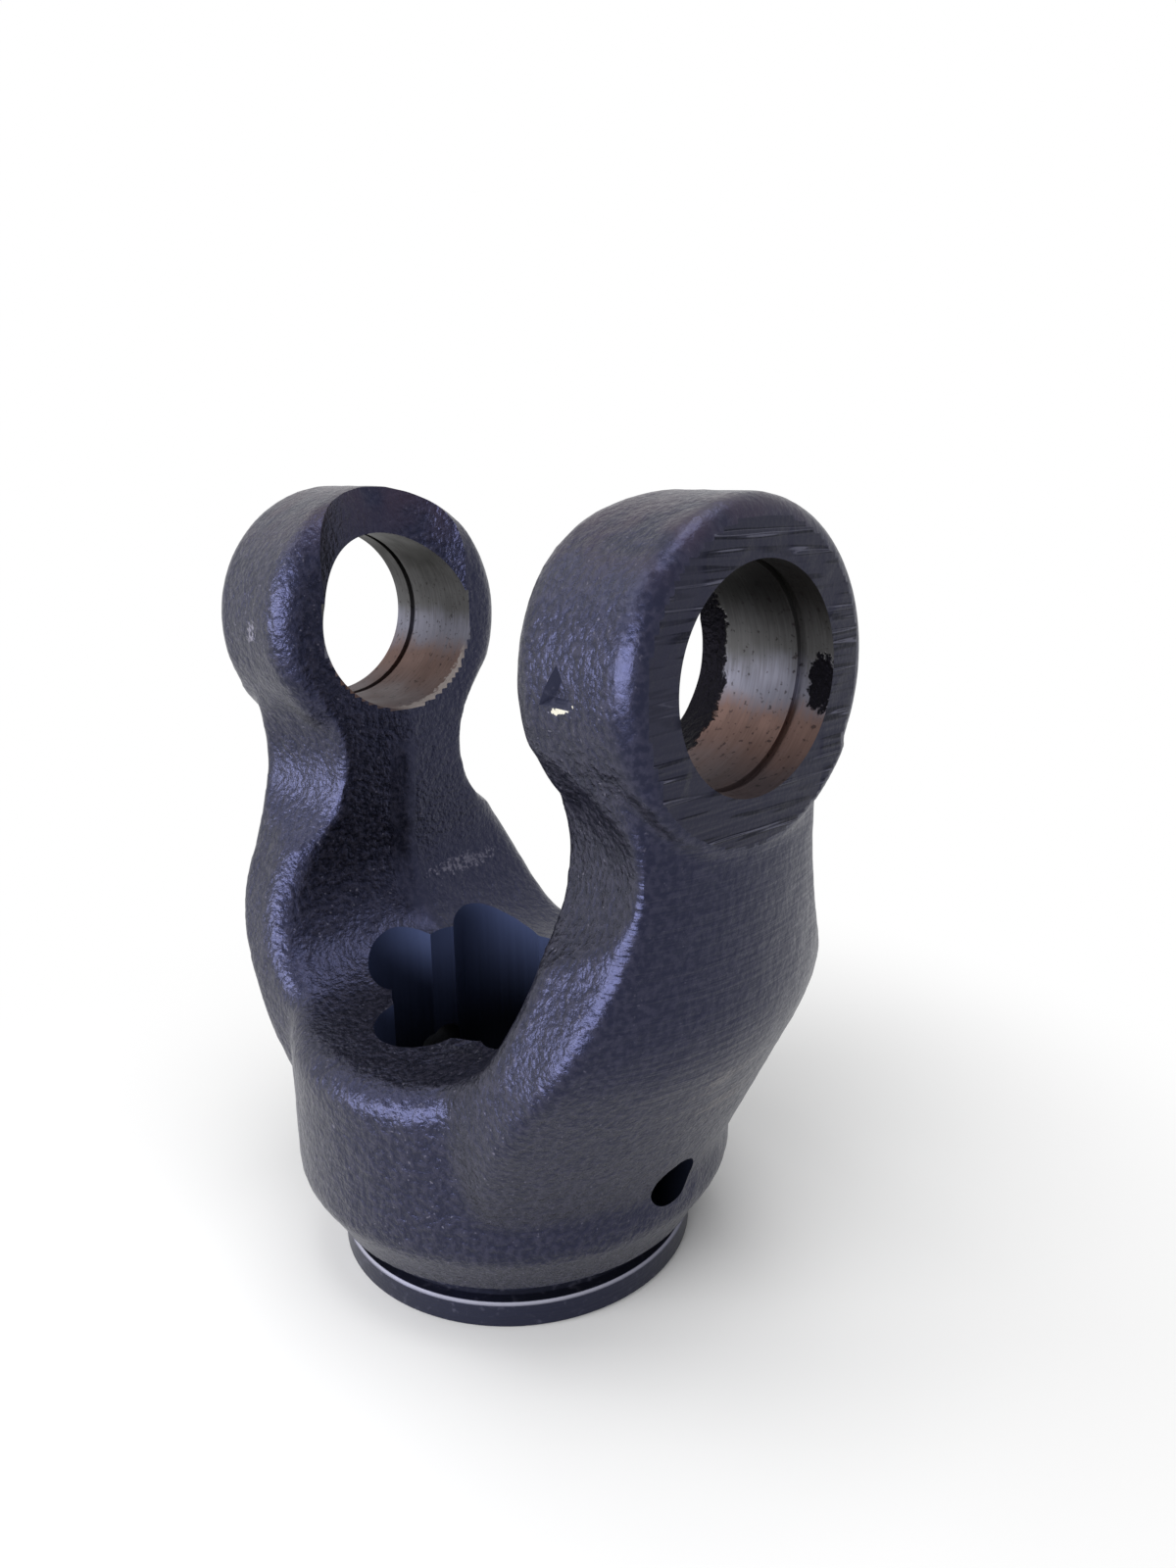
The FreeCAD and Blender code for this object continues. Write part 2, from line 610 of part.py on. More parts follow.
# Bearing cup bores with a snap ring groove near each land.
hole("bores", "YZ_Plane", "bore_height", "bore_diameter")
ring_inner = half("ring_span")
ring_outer = ring_inner + dim("ring_width")
ring_top = bore_height + half("bore_diameter") + dim("ring_depth")
for side, name in ((1, "ring_groove_right"), (-1, "ring_groove_left")):
    sketch = new_sketch(f"{name}_outline", "XZ_Plane")
    outline = Outline(sketch, (side * ring_inner, bore_height))
    outline.line((side * ring_outer, bore_height))
    outline.line((side * ring_outer, ring_top))
    outline.line((side * ring_inner, ring_top))
    outline.line((side * ring_inner, bore_height))
    outline.close()
    outline.level(0, 2)
    outline.upright(1, 3)
    outline.across(0, "start", f"{side} * dims.ring_span / 2 * 1 mm")
    outline.across(0, "end", f"{side} * (dims.ring_span / 2 + dims.ring_width) * 1 mm")
    outline.up(0, "start", "dims.bore_height * 1 mm")
    outline.up(2, "end", "(dims.bore_height + dims.bore_diameter / 2 + dims.ring_depth) * 1 mm")
    turn("Groove", name, sketch, "Edge1", -1)

# Star bore: round lobes between ribs that keep the root circle.
root = dim("star_root")
lobe = dim("star_lobe")
lobe_reach = dim("star_crest") - lobe
spread = math.degrees(math.acos((root**2 + lobe_reach**2 - lobe**2) / (2 * root * lobe_reach)))
step = 360 / lobes
sketch = new_sketch("star_outline", "XY_Plane")
outline = Outline(sketch, on_circle((0, 0), root, step / 2 - spread))
for turn_angle in [step * (place + 0.5) for place in range(lobes)]:
    centre = on_circle((0, 0), lobe_reach, turn_angle)
    opening = toward(centre, on_circle((0, 0), root, turn_angle + spread)) - turn_angle
    opening %= 360
    outline.arc(centre, lobe, turn_angle - opening, turn_angle + opening)
    outline.arc((0, 0), root, turn_angle + spread, turn_angle + step - spread)
outline.close()
for place in range(lobes):
    angle = step * (place + 0.5)
    outline.radius(2 * place, "sizes.star_lobe * 1 mm")
    outline.across(2 * place, "centre", f"(sizes.star_crest - sizes.star_lobe) * cos({angle} deg) * 1 mm")
    outline.up(2 * place, "centre", f"(sizes.star_crest - sizes.star_lobe) * sin({angle} deg) * 1 mm")
    rib = outline.edges[2 * place + 1]
    sketch.addConstraint(Sketcher.Constraint("Coincident", rib, 3, -1, 1))
    if place == 0:
        outline.radius(1, "sizes.star_root * 1 mm")
    else:
        outline.equal(1, 2 * place + 1)
cut_through("star_bore", sketch)

# Locking pin hole across both walls of the hub.
hole("pin_hole", "YZ_Plane", "pin_height", "pin_diameter")

doc.recompute()
for item in doc.Objects:
    if "Invalid" in item.State or "Error" in item.State:
        raise RuntimeError(f"{item.Name} failed: {item.State}")
if body.Shape.isNull() or not body.Shape.isValid() or len(body.Shape.Solids) != 1:
    raise RuntimeError("the yoke isn't one valid solid")
box = body.Shape.optimalBoundingBox(False)
print("size", round(box.XLength, 2), round(box.YLength, 2), round(box.ZLength, 2))
os.makedirs("parts", exist_ok=True)
body.Shape.exportStep(f"parts/{body.Label}.step")
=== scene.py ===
import bpy
import math
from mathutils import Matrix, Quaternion, Vector


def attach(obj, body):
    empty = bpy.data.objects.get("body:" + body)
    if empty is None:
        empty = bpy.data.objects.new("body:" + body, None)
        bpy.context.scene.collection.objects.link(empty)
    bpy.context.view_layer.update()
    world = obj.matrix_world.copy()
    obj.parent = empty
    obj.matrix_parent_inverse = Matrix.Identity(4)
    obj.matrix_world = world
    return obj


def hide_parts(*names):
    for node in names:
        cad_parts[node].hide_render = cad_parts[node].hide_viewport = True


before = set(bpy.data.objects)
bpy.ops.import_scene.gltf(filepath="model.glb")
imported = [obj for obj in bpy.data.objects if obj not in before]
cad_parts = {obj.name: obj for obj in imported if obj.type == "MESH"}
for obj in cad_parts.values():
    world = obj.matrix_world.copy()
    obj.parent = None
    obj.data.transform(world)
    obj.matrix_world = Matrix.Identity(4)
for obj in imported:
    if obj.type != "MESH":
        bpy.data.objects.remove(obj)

# Forged drive-shaft yoke: one forging, machined at the ears, the foot and the lobed bore.
# Metres, shaft along Z, cross bores along X.

bpy.context.view_layer.update()
mm = 0.001


def deselectAll():
    bpy.ops.object.select_all(action="DESELECT")


def pick(piece):
    deselectAll()
    piece.select_set(True)
    bpy.context.view_layer.objects.active = piece


def settle(piece):
    # place and turn go into the mesh
    pick(piece)
    bpy.ops.object.transform_apply(location=True, rotation=True, scale=True)
    return piece


def modify(piece, kind, **settings):
    pick(piece)
    modifier = piece.modifiers.new(kind.lower(), kind)
    for key, value in settings.items():
        setattr(modifier, key, value)
    bpy.ops.object.modifier_apply(modifier=modifier.name)


def rod(name, radius, start, end, axis="X", middle=(0, 0), sides=192):
    # closed cylinder between two places along X or Z, middle is its place across
    deselectAll()
    along = (start + end) / 2
    if axis == "X":
        place, turn = (along, *middle), (0, math.pi / 2, 0)
    else:
        place, turn = (*middle, along), (0, 0, 0)
    bpy.ops.mesh.primitive_cylinder_add(
        vertices=sides, radius=radius, depth=end - start, location=place, rotation=turn)
    piece = bpy.context.object
    piece.name = name
    return settle(piece)


def lathe(name, profile, sides=256):
    # closed ring about Z from a loop of (radius, height) points in mm
    deselectAll()
    bpy.ops.mesh.primitive_circle_add(vertices=len(profile))
    piece = bpy.context.object
    piece.name = name
    for vertex, (reach, height) in zip(piece.data.vertices, profile):
        vertex.co = (reach * mm, 0, height * mm)
    bpy.ops.object.mode_set(mode="EDIT")
    bpy.ops.mesh.select_all(action="SELECT")
    bpy.ops.mesh.spin(steps=sides, angle=math.tau, center=(0, 0, 0), axis=(0, 0, 1))
    bpy.ops.mesh.select_all(action="SELECT")
    bpy.ops.mesh.remove_doubles(threshold=1e-6)
    bpy.ops.mesh.normals_make_consistent(inside=False)
    bpy.ops.object.mode_set(mode="OBJECT")
    return piece


def trim(piece, place, normal):
    # cuts off what lies on the normal's side of a plane and closes the cut
    pick(piece)
    bpy.ops.object.mode_set(mode="EDIT")
    bpy.ops.mesh.select_all(action="SELECT")
    bpy.ops.mesh.bisect(plane_co=place, plane_no=normal, use_fill=True, clear_outer=True)
    bpy.ops.mesh.select_all(action="SELECT")
    bpy.ops.mesh.normals_make_consistent(inside=False)
    bpy.ops.object.mode_set(mode="OBJECT")


def combine(piece, tool, operation):
    modify(piece, "BOOLEAN", operation=operation, solver="MANIFOLD", object=tool)
    bpy.data.objects.remove(tool)


# Finishes
eased = {"interpolation_type": "SMOOTHSTEP"}  # setting of a soft limit
coloured = {"data_type": "RGBA"}  # setting of a mix of colours


def linear(hexColour):
    # sRGB hex to linear colour
    parts = [int(hexColour[place:place + 2], 16) / 255 for place in (1, 3, 5)]
    curve = [part / 12.92 if part <= 0.04045 else ((part + 0.055) / 1.055) ** 2.4 for part in parts]
    return (*curve, 1)


def result(made):
    # the output of a node that is in use
    return next(socket for socket in made.outputs if socket.enabled)


def node(tree, kind, links=None, **settings):
    # one node with its settings, its inputs are values, sockets or other nodes
    made = tree.nodes.new("ShaderNode" + kind)
    for key, value in settings.items():
        setattr(made, key, value)
    for key, value in (links or {}).items():
        if isinstance(value, bpy.types.Node):
            value = result(value)
        if isinstance(value, bpy.types.NodeSocket):
            tree.links.new(value, made.inputs[key])
        else:
            made.inputs[key].default_value = value
    return made


def newMaterial(name):
    material = bpy.data.materials.new(name)
    material.use_nodes = True
    tree = material.node_tree
    place = node(tree, "TexCoord").outputs["Object"]
    return material, tree, tree.nodes["Principled BSDF"], place


def connect(tree, shader, **links):
    # finished patterns go to the shader's sockets
    sockets = {"colour": "Base Color", "rough": "Roughness", "bump": "Normal"}
    for key, made in links.items():
        tree.links.new(result(made), shader.inputs[sockets[key]])


def grain(size):
    # pattern scale for a real size in mm
    return 1 / (size * mm)


def within(tree, limits, measures):
    # 1 where each measure is past its pair of limits in mm, 0 before them
    share = 1
    for name, (first, last) in limits.items():
        part = node(tree, "MapRange", {0: measures[name], 1: first * mm, 2: last * mm}, **eased)
        share = node(tree, "Math", {0: share, 1: part}, operation="MULTIPLY")
    return share


patchEdge = (1.58, 1.42)  # distance with its noise, where a patch begins and where it is full


def patch(tree, place, middle, reach, ragged, turn=(0, 0, 0)):
    # 1 inside an uneven oval round a place in mm, 0 outside
    turned = node(tree, "Mapping", {
        "Vector": place, "Location": [part * mm for part in middle],
        "Rotation": [math.radians(part) for part in turn], "Scale": [part * mm for part in reach],
    }, vector_type="TEXTURE")
    distance = node(tree, "VectorMath", {0: turned}, operation="LENGTH")
    uneven = node(tree, "Math", {0: distance, 1: ragged}, operation="ADD")
    return node(tree, "MapRange", {0: uneven, 1: patchEdge[0], 2: patchEdge[1]}, **eased)


skinCoat = {
    # dark and pale: painted shade in the pebbles' hollows and painted highlight on their tops
    "dark": "#050506", "paintedLightPale": "#1b1a20", "glintAndScuff": "#5a5862", "bloom": "#24191a", "bare": "#a3a092",
    "grind": "#3c3833", "tint": (0.46, 0.50, 1.0, 1), "dull": 0.39, "bright": 0.27, "level": 0.54,
    "pebble": 1.1, "pit": 2.4, "wave": 7.0, "fine": 0.75, "streak": (20, 16, 0.9),  # sizes in mm
    "pebbleHeight": 0.34 * mm, "pitHeight": 0.22 * mm, "waveHeight": 0.3 * mm, "streakHeight": 0.22 * mm,
    # smoother places: where each begins and is full in mm, and the share of the pebbles left there
    "flashMiddle": -1.6 * mm, "flashPebbles": 0.2,
    "flash": {"beside": (3.4, 2.8), "inner": (35.5, 34.5), "clear": (22, 26), "under": (98, 94)},
    "outer": {"wide": (50, 55), "low": (104, 94)}, "outerPebbles": 0.42,
    "rim": (54.5 * mm, 56.5 * mm), "rimPebbles": 0.4,
    # the part of a noise that turns pale as painted light, gets a painted glint, blooms or is ground
    "litTopsFrom": (0.40, 0.66), "paintedGlintFrom": (0.70, 0.78), "paintedGlint": 0.5, "lineFrom": (0.52, 0.58),
    "bloomFrom": (0.3, 0.65), "bloomHeight": (132 * mm, 145 * mm), "bloomTop": 0.8, "shineFrom": (0.3, 0.7),
    # patches: middle and reach in mm, and turns in degrees
    "ragged": 1.6, "streakTurn": 8, "ground": ((53.5, 2.0, 50.0), (9, 14, 9)),
    "scratch": ((46.2, -26.6, 117.3), (3.0, 3.0, 0.7)), "scratchTurn": (0, -20, 0),
    "scuffs": (((-45.2, -26.8, 119.4), (2.4, 2.0, 2.8)), ((-32.6, 14.0, 65.0), (4, 13, 2.2))),
}


def forgedSkin():
    # blasted forging skin under a thin satin black coat: pebbled, bluish where it catches light, with
    # painted highlights on the pebble tops, painted shade in the hollows between them and painted glints
    # the finest grit, 0.3 mm, would not show and is drawn at 0.75 mm
    material, tree, shader, place = newMaterial("blastedForgingBlackCoat")
    pebble = node(tree, "TexNoise", {"Vector": place, "Scale": grain(skinCoat["pebble"]), "Detail": 3.0})
    fine = node(tree, "TexNoise", {"Vector": place, "Scale": grain(skinCoat["fine"]), "Detail": 1.0})
    pit = node(tree, "TexNoise", {"Vector": place, "Scale": grain(skinCoat["pit"]), "Detail": 2.0})
    wave = node(tree, "TexNoise", {"Vector": place, "Scale": grain(skinCoat["wave"]), "Detail": 1.0})
    parts = node(tree, "SeparateXYZ", {"Vector": place}).outputs
    outward = node(tree, "Math", {0: parts["X"]}, operation="ABSOLUTE")

    # smooth trimmed flash down the inner walls, smoother outer faces, and rounding worn beside the lands
    moved = node(tree, "Math", {0: parts["Y"], 1: skinCoat["flashMiddle"]}, operation="SUBTRACT")
    beside = node(tree, "Math", {0: moved}, operation="ABSOLUTE")
    measures = {"beside": beside, "inner": outward, "clear": outward, "under": parts["Z"]}
    flash = within(tree, skinCoat["flash"], measures)
    outer = within(tree, skinCoat["outer"], {"wide": outward, "low": parts["Z"]})
    calm = node(tree, "MapRange", {0: outer, 3: 1.0, 4: skinCoat["outerPebbles"]})
    still = node(tree, "MapRange", {0: flash, 3: 1.0, 4: skinCoat["flashPebbles"]})
    start, full = skinCoat["rim"]
    wearAndEdgeHighlight = node(tree, "MapRange", {0: outward, 1: start, 2: full, 3: 1.0, 4: skinCoat["rimPebbles"]})
    calm = node(tree, "Math", {0: calm, 1: wearAndEdgeHighlight}, operation="MINIMUM")
    rough = node(tree, "Math", {0: calm, 1: still}, operation="MULTIPLY")

    # both heights are taken round their middle, so that the calm places stay level with the rest
    level = -(skinCoat["pebbleHeight"] + skinCoat["pitHeight"]) / 2
    height = node(tree, "Math", {0: pebble, 1: skinCoat["pebbleHeight"], 2: level},
                  operation="MULTIPLY_ADD")
    height = node(tree, "Math", {0: pit, 1: skinCoat["pitHeight"], 2: height}, operation="MULTIPLY_ADD")
    height = node(tree, "Math", {0: height, 1: rough}, operation="MULTIPLY")
    height = node(tree, "Math", {0: wave, 1: skinCoat["waveHeight"], 2: height}, operation="MULTIPLY_ADD")
    # grinding streaks along the outer faces
    stretched = node(tree, "Mapping", {
        "Vector": place, "Rotation": (math.radians(skinCoat["streakTurn"]), 0, 0),
        "Scale": [grain(size) for size in skinCoat["streak"]]})
    streak = node(tree, "TexNoise", {"Vector": stretched, "Scale": 1.0, "Detail": 2.0})
    cut = node(tree, "Math", {0: streak, 1: outer}, operation="MULTIPLY")
    height = node(tree, "Math", {0: cut, 1: skinCoat["streakHeight"], 2: height}, operation="MULTIPLY_ADD")
    bump = node(tree, "Bump", {"Height": height, "Strength": 1.0, "Distance": 1.0})

    # painted highlight on the pebble tops and painted shade in the hollows between them, painted glints as
    # fine sparkle, and a brown bloom on top of the ears
    start, full = skinCoat["litTopsFrom"]
    share = node(tree, "MapRange", {0: pebble, 1: start, 2: full}, **eased)
    shades = {6: linear(skinCoat["dark"]), 7: linear(skinCoat["paintedLightPale"])}
    colour = node(tree, "Mix", {0: share, **shades}, **coloured)
    # painted glints: small pale specks on the free skin stand in for sparkling highlights
    start, full = skinCoat["paintedGlintFrom"]
    paintedGlint = node(tree, "MapRange", {0: fine, 1: start, 2: full, 4: skinCoat["paintedGlint"]}, **eased)
    paintedGlint = node(tree, "Math", {0: paintedGlint, 1: rough}, operation="MULTIPLY")
    colour = node(tree, "Mix", {0: paintedGlint, 6: colour, 7: linear(skinCoat["glintAndScuff"])}, **coloured)
    start, full = skinCoat["bloomHeight"]
    high = node(tree, "MapRange", {0: parts["Z"], 1: start, 2: full, 4: skinCoat["bloomTop"]}, **eased)
    start, full = skinCoat["bloomFrom"]
    uneven = node(tree, "MapRange", {0: wave, 1: start, 2: full}, **eased)
    warm = node(tree, "Math", {0: high, 1: uneven}, operation="MULTIPLY")
    colour = node(tree, "Mix", {0: warm, 6: colour, 7: linear(skinCoat["bloom"])}, **coloured)

    # brown grinding lines low on the outer face, a bright scratch under the stamped mark, and scuffs
    ragged = node(tree, "Math", {0: fine, 1: skinCoat["ragged"]}, operation="MULTIPLY")
    start, full = skinCoat["lineFrom"]
    lines = node(tree, "MapRange", {0: streak, 1: start, 2: full}, **eased)
    ground = patch(tree, place, *skinCoat["ground"], ragged)
    lines = node(tree, "Math", {0: lines, 1: ground}, operation="MULTIPLY")
    colour = node(tree, "Mix", {0: lines, 6: colour, 7: linear(skinCoat["grind"])}, **coloured)
    scratch = patch(tree, place, *skinCoat["scratch"], ragged, skinCoat["scratchTurn"])
    colour = node(tree, "Mix", {0: scratch, 6: colour, 7: linear(skinCoat["bare"])}, **coloured)
    for middle, reach in skinCoat["scuffs"]:
        scuff = patch(tree, place, middle, reach, ragged)
        scuff = node(tree, "Math", {0: scuff, 1: share}, operation="MULTIPLY")
        colour = node(tree, "Mix", {0: scuff, 6: colour, 7: linear(skinCoat["glintAndScuff"])}, **coloured)
    start, full = skinCoat["shineFrom"]
    ends = {3: skinCoat["bright"], 4: skinCoat["dull"]}
    shine = node(tree, "MapRange", {0: fine, 1: start, 2: full, **ends})
    connect(tree, shader, colour=colour, rough=shine, bump=bump)
    shader.inputs["Specular Tint"].default_value = skinCoat["tint"]
    shader.inputs["Specular IOR Level"].default_value = skinCoat["level"]
    return material


bareSteel = {
    "low": "#584e50", "copper": "#624f4a", "silver": "#6e6e7a", "shadedGrey": "#555556", "top": "#30302e",
    "chip": "#8d8583", "pore": "#262122", "coat": "#121116", "bright": 0.46, "dull": 0.62,
    "turning": (0.45, 6, 6), "blotch": 7.0, "fine": 1.0,  # sizes in mm
    "turningHeight": 0.03 * mm, "coatHeight": 0.5 * mm,
    # heights in mm between which a colour takes over from the one below, and how far they wander; the grey
    # and top bands are painted shade, darkening the bore towards its top
    "bands": {"copper": (106, 113), "silver": (114.5, 120), "shadedGrey": (121, 127), "top": (128, 138)},
    "blotchWander": 7 * mm, "turningWander": 3 * mm,
    # the part of a noise that turns dark, and how dark
    "poreFrom": (0.60, 0.72), "poreShare": 0.7, "turningFrom": (0.35, 0.7), "turningShare": 0.22,
    "shineFrom": (0.3, 0.7),
    # chips at the far ear and coat at the near one: where each begins and is full in mm
    "chips": {"mouth": (-32.4, -31.6), "farEar": (1, 0), "low": (119, 115), "aside": (-4, 2)},
    "mouthWander": 4 * mm, "coatLeft": {"mouth": (43.6, 42.9), "nearEar": (0, 1)},
    "coatWander": (3.2 * mm, 6 * mm), "ragged": 1.3, "spot": ((58.6, 17.0, 116.8), (2.9, 4, 5.4)),
}


def boredSteel():
    # bored bare steel: fine turning rings, brown handling rust below, painted shade darkening it towards
    # the top, coat left at the inner mouth
    # the real rings, 0.1 mm apart, would not show and are drawn 0.45 mm apart
    material, tree, shader, place = newMaterial("boredBareSteel")
    parts = node(tree, "SeparateXYZ", {"Vector": place}).outputs
    blotch = node(tree, "TexNoise", {"Vector": place, "Scale": grain(bareSteel["blotch"]), "Detail": 3.0})
    fine = node(tree, "TexNoise", {"Vector": place, "Scale": grain(bareSteel["fine"]), "Detail": 2.0})
    scale = [grain(size) for size in bareSteel["turning"]]
    rings = node(tree, "Mapping", {"Vector": place, "Scale": scale})
    ring = node(tree, "TexNoise", {"Vector": rings, "Scale": 1.0, "Detail": 1.0})
    upward = node(tree, "Math", {0: blotch, 1: bareSteel["blotchWander"], 2: parts["Z"]},
                  operation="MULTIPLY_ADD")
    upward = node(tree, "Math", {0: ring, 1: bareSteel["turningWander"], 2: upward},
                  operation="MULTIPLY_ADD")
    # bands by height: rust low, the steel's silver in the middle, painted shade to grey and near-black at
    # the top
    colour = linear(bareSteel["low"])
    for name, (first, last) in bareSteel["bands"].items():
        share = node(tree, "MapRange", {0: upward, 1: first * mm, 2: last * mm}, **eased)
        colour = node(tree, "Mix", {0: share, 6: colour, 7: linear(bareSteel[name])}, **coloured)
    start, full = bareSteel["poreFrom"]
    pores = node(tree, "MapRange", {0: fine, 1: start, 2: full, 4: bareSteel["poreShare"]}, **eased)
    colour = node(tree, "Mix", {0: pores, 6: colour, 7: linear(bareSteel["pore"])}, **coloured)
    start, full = bareSteel["turningFrom"]
    line = node(tree, "MapRange", {0: ring, 1: start, 2: full, 4: bareSteel["turningShare"]})
    colour = node(tree, "Mix", {0: line, 6: colour, 7: linear(bareSteel["pore"])}, **coloured)

    # bright chips along the broken coat at the far ear's inner mouth
    mouth = node(tree, "Math", {0: fine, 1: bareSteel["mouthWander"], 2: parts["X"]},
                 operation="MULTIPLY_ADD")
    measures = {"mouth": mouth, "farEar": parts["X"], "low": upward, "aside": parts["Y"]}
    chips = within(tree, bareSteel["chips"], measures)
    colour = node(tree, "Mix", {0: chips, 6: colour, 7: linear(bareSteel["chip"])}, **coloured)
    # coat at the near ear's inner mouth, and one uncleaned spot near the land
    fineWander, blotchWander = bareSteel["coatWander"]
    edge = node(tree, "Math", {0: fine, 1: fineWander, 2: parts["X"]}, operation="MULTIPLY_ADD")
    edge = node(tree, "Math", {0: blotch, 1: blotchWander, 2: edge}, operation="MULTIPLY_ADD")
    band = within(tree, bareSteel["coatLeft"], {"mouth": edge, "nearEar": parts["X"]})
    ragged = node(tree, "Math", {0: fine, 1: bareSteel["ragged"]}, operation="MULTIPLY")
    spot = patch(tree, place, *bareSteel["spot"], ragged)
    coat = node(tree, "Math", {0: band, 1: spot}, operation="MAXIMUM")
    colour = node(tree, "Mix", {0: coat, 6: colour, 7: linear(bareSteel["coat"])}, **coloured)

    start, full = bareSteel["shineFrom"]
    ends = {3: bareSteel["bright"], 4: bareSteel["dull"]}
    shine = node(tree, "MapRange", {0: blotch, 1: start, 2: full, **ends})
    height = node(tree, "Math", {0: fine, 1: coat}, operation="MULTIPLY")
    height = node(tree, "Math", {0: height, 1: bareSteel["coatHeight"]}, operation="MULTIPLY")
    height = node(tree, "Math", {0: ring, 1: bareSteel["turningHeight"], 2: height},
                  operation="MULTIPLY_ADD")
    bump = node(tree, "Bump", {"Height": height, "Strength": 1.0, "Distance": 1.0})
    connect(tree, shader, colour=colour, rough=shine, bump=bump)
    shader.inputs["Metallic"].default_value = 1.0
    return material


landCoat = {
    "ground": "#26262f", "dark": "#040405", "line": "#4c4c58", "level": 0.2, "rough": 0.46,
    "gouge": (30, 26, 1.2), "field": 9.0, "fine": 0.8, "turn": 7,  # sizes in mm, turn in degrees
    "gougeHeight": 0.7 * mm, "fineHeight": 0.10 * mm, "fieldFrom": (0.38, 0.52), "fieldLeast": 0.3,
    # dark is painted shadow inside the gouges, line a painted highlight on their edges
    "bands": {"dark": (0.52, 0.64), "line": (0.635, 0.675)},  # the part of the noise for each colour
}


def groundLand():
    # coated land with coarse grinding gouges across it, in fields, with painted shadow in the gouges and a
    # painted highlight along their edges
    material, tree, shader, place = newMaterial("groundLandBlackCoat")
    turned = node(tree, "Mapping", {
        "Vector": place, "Rotation": (math.radians(landCoat["turn"]), 0, 0),
        "Scale": [grain(size) for size in landCoat["gouge"]]})
    gouge = node(tree, "TexNoise", {"Vector": turned, "Scale": 1.0, "Detail": 1.0})
    fine = node(tree, "TexNoise", {"Vector": place, "Scale": grain(landCoat["fine"]), "Detail": 2.0})
    field = node(tree, "TexNoise", {"Vector": place, "Scale": grain(landCoat["field"]), "Detail": 1.0})
    start, full = landCoat["fieldFrom"]
    field = node(tree, "MapRange", {0: field, 1: start, 2: full, 3: landCoat["fieldLeast"]}, **eased)
    # each gouge is painted dark as its shadow, with a thin painted highlight along its edge above it
    colour = linear(landCoat["ground"])
    for name, (first, last) in landCoat["bands"].items():
        inner = first + (last - first) / 3
        outer = last - (last - first) / 3
        rise = node(tree, "MapRange", {0: gouge, 1: first, 2: inner}, **eased)
        fall = node(tree, "MapRange", {0: gouge, 1: last, 2: outer}, **eased)
        share = node(tree, "Math", {0: rise, 1: fall}, operation="MULTIPLY")
        share = node(tree, "Math", {0: share, 1: field}, operation="MULTIPLY")
        colour = node(tree, "Mix", {0: share, 6: colour, 7: linear(landCoat[name])}, **coloured)
    height = node(tree, "Math", {0: gouge, 1: field}, operation="MULTIPLY")
    height = node(tree, "Math", {0: height, 1: landCoat["gougeHeight"]}, operation="MULTIPLY")
    height = node(tree, "Math", {0: fine, 1: landCoat["fineHeight"], 2: height}, operation="MULTIPLY_ADD")
    bump = node(tree, "Bump", {"Height": height, "Strength": 1.0, "Distance": 1.0})
    connect(tree, shader, colour=colour, bump=bump)
    shader.inputs["Roughness"].default_value = landCoat["rough"]
    shader.inputs["Specular Tint"].default_value = skinCoat["tint"]
    shader.inputs["Specular IOR Level"].default_value = landCoat["level"]
    return material


footCoat = {
    # edge: painted highlight along the flange's upper edge
    "dark": "#0d0e12", "rub": "#2a2a32", "edge": "#84848f", "rough": 0.38,
    "turning": (8, 8, 0.5), "fine": 1.6,  # sizes in mm
    "turningHeight": 0.05 * mm, "fineHeight": 0.07 * mm, "rubFrom": (0.56, 0.72),
    "edgeHighlightFrom": (4.7 * mm, 5.0 * mm), "edgeHighlightTo": (5.28 * mm, 5.2 * mm),
}


def turnedCoat():
    # turned foot under the coat: smooth, with faint tool rings and a painted highlight along the flange's
    # upper edge
    material, tree, shader, place = newMaterial("turnedSteelBlackCoat")
    scale = [grain(size) for size in footCoat["turning"]]
    rings = node(tree, "Mapping", {"Vector": place, "Scale": scale})
    ring = node(tree, "TexNoise", {"Vector": rings, "Scale": 1.0, "Detail": 2.0})
    fine = node(tree, "TexNoise", {"Vector": place, "Scale": grain(footCoat["fine"]), "Detail": 3.0})
    height = node(tree, "Math", {0: ring, 1: footCoat["turningHeight"]}, operation="MULTIPLY")
    height = node(tree, "Math", {0: fine, 1: footCoat["fineHeight"], 2: height}, operation="MULTIPLY_ADD")
    bump = node(tree, "Bump", {"Height": height, "Strength": 1.0, "Distance": 1.0})
    start, full = footCoat["rubFrom"]
    rub = node(tree, "MapRange", {0: fine, 1: start, 2: full}, **eased)
    shades = {6: linear(footCoat["dark"]), 7: linear(footCoat["rub"])}
    colour = node(tree, "Mix", {0: rub, **shades}, **coloured)
    # painted highlight: a thin pale band along the flange's upper edge
    upward = node(tree, "SeparateXYZ", {"Vector": place}).outputs["Z"]
    start, full = footCoat["edgeHighlightFrom"]
    over = node(tree, "MapRange", {0: upward, 1: start, 2: full})
    start, full = footCoat["edgeHighlightTo"]
    under = node(tree, "MapRange", {0: upward, 1: start, 2: full})
    wearAndEdgeHighlight = node(tree, "Math", {0: over, 1: under}, operation="MULTIPLY")
    colour = node(tree, "Mix", {0: wearAndEdgeHighlight, 6: colour, 7: linear(footCoat["edge"])}, **coloured)
    connect(tree, shader, colour=colour, bump=bump)
    shader.inputs["Roughness"].default_value = footCoat["rough"]
    shader.inputs["Specular Tint"].default_value = skinCoat["tint"]
    shader.inputs["Specular IOR Level"].default_value = skinCoat["level"]
    return material


starCoat = {
    "deep": "#090b12", "paintedLightPale": "#343c58", "tint": (0.5, 0.6, 1.0, 1), "rough": 0.33, "level": 0.06,
    "line": (0.9, 0.9, 30), "lineHeight": 0.02 * mm,  # size in mm
    # heights over which painted shade darkens the walls downwards
    "paintedShadeHeights": (28 * mm, 60 * mm), "shadeWander": 5 * mm,
}


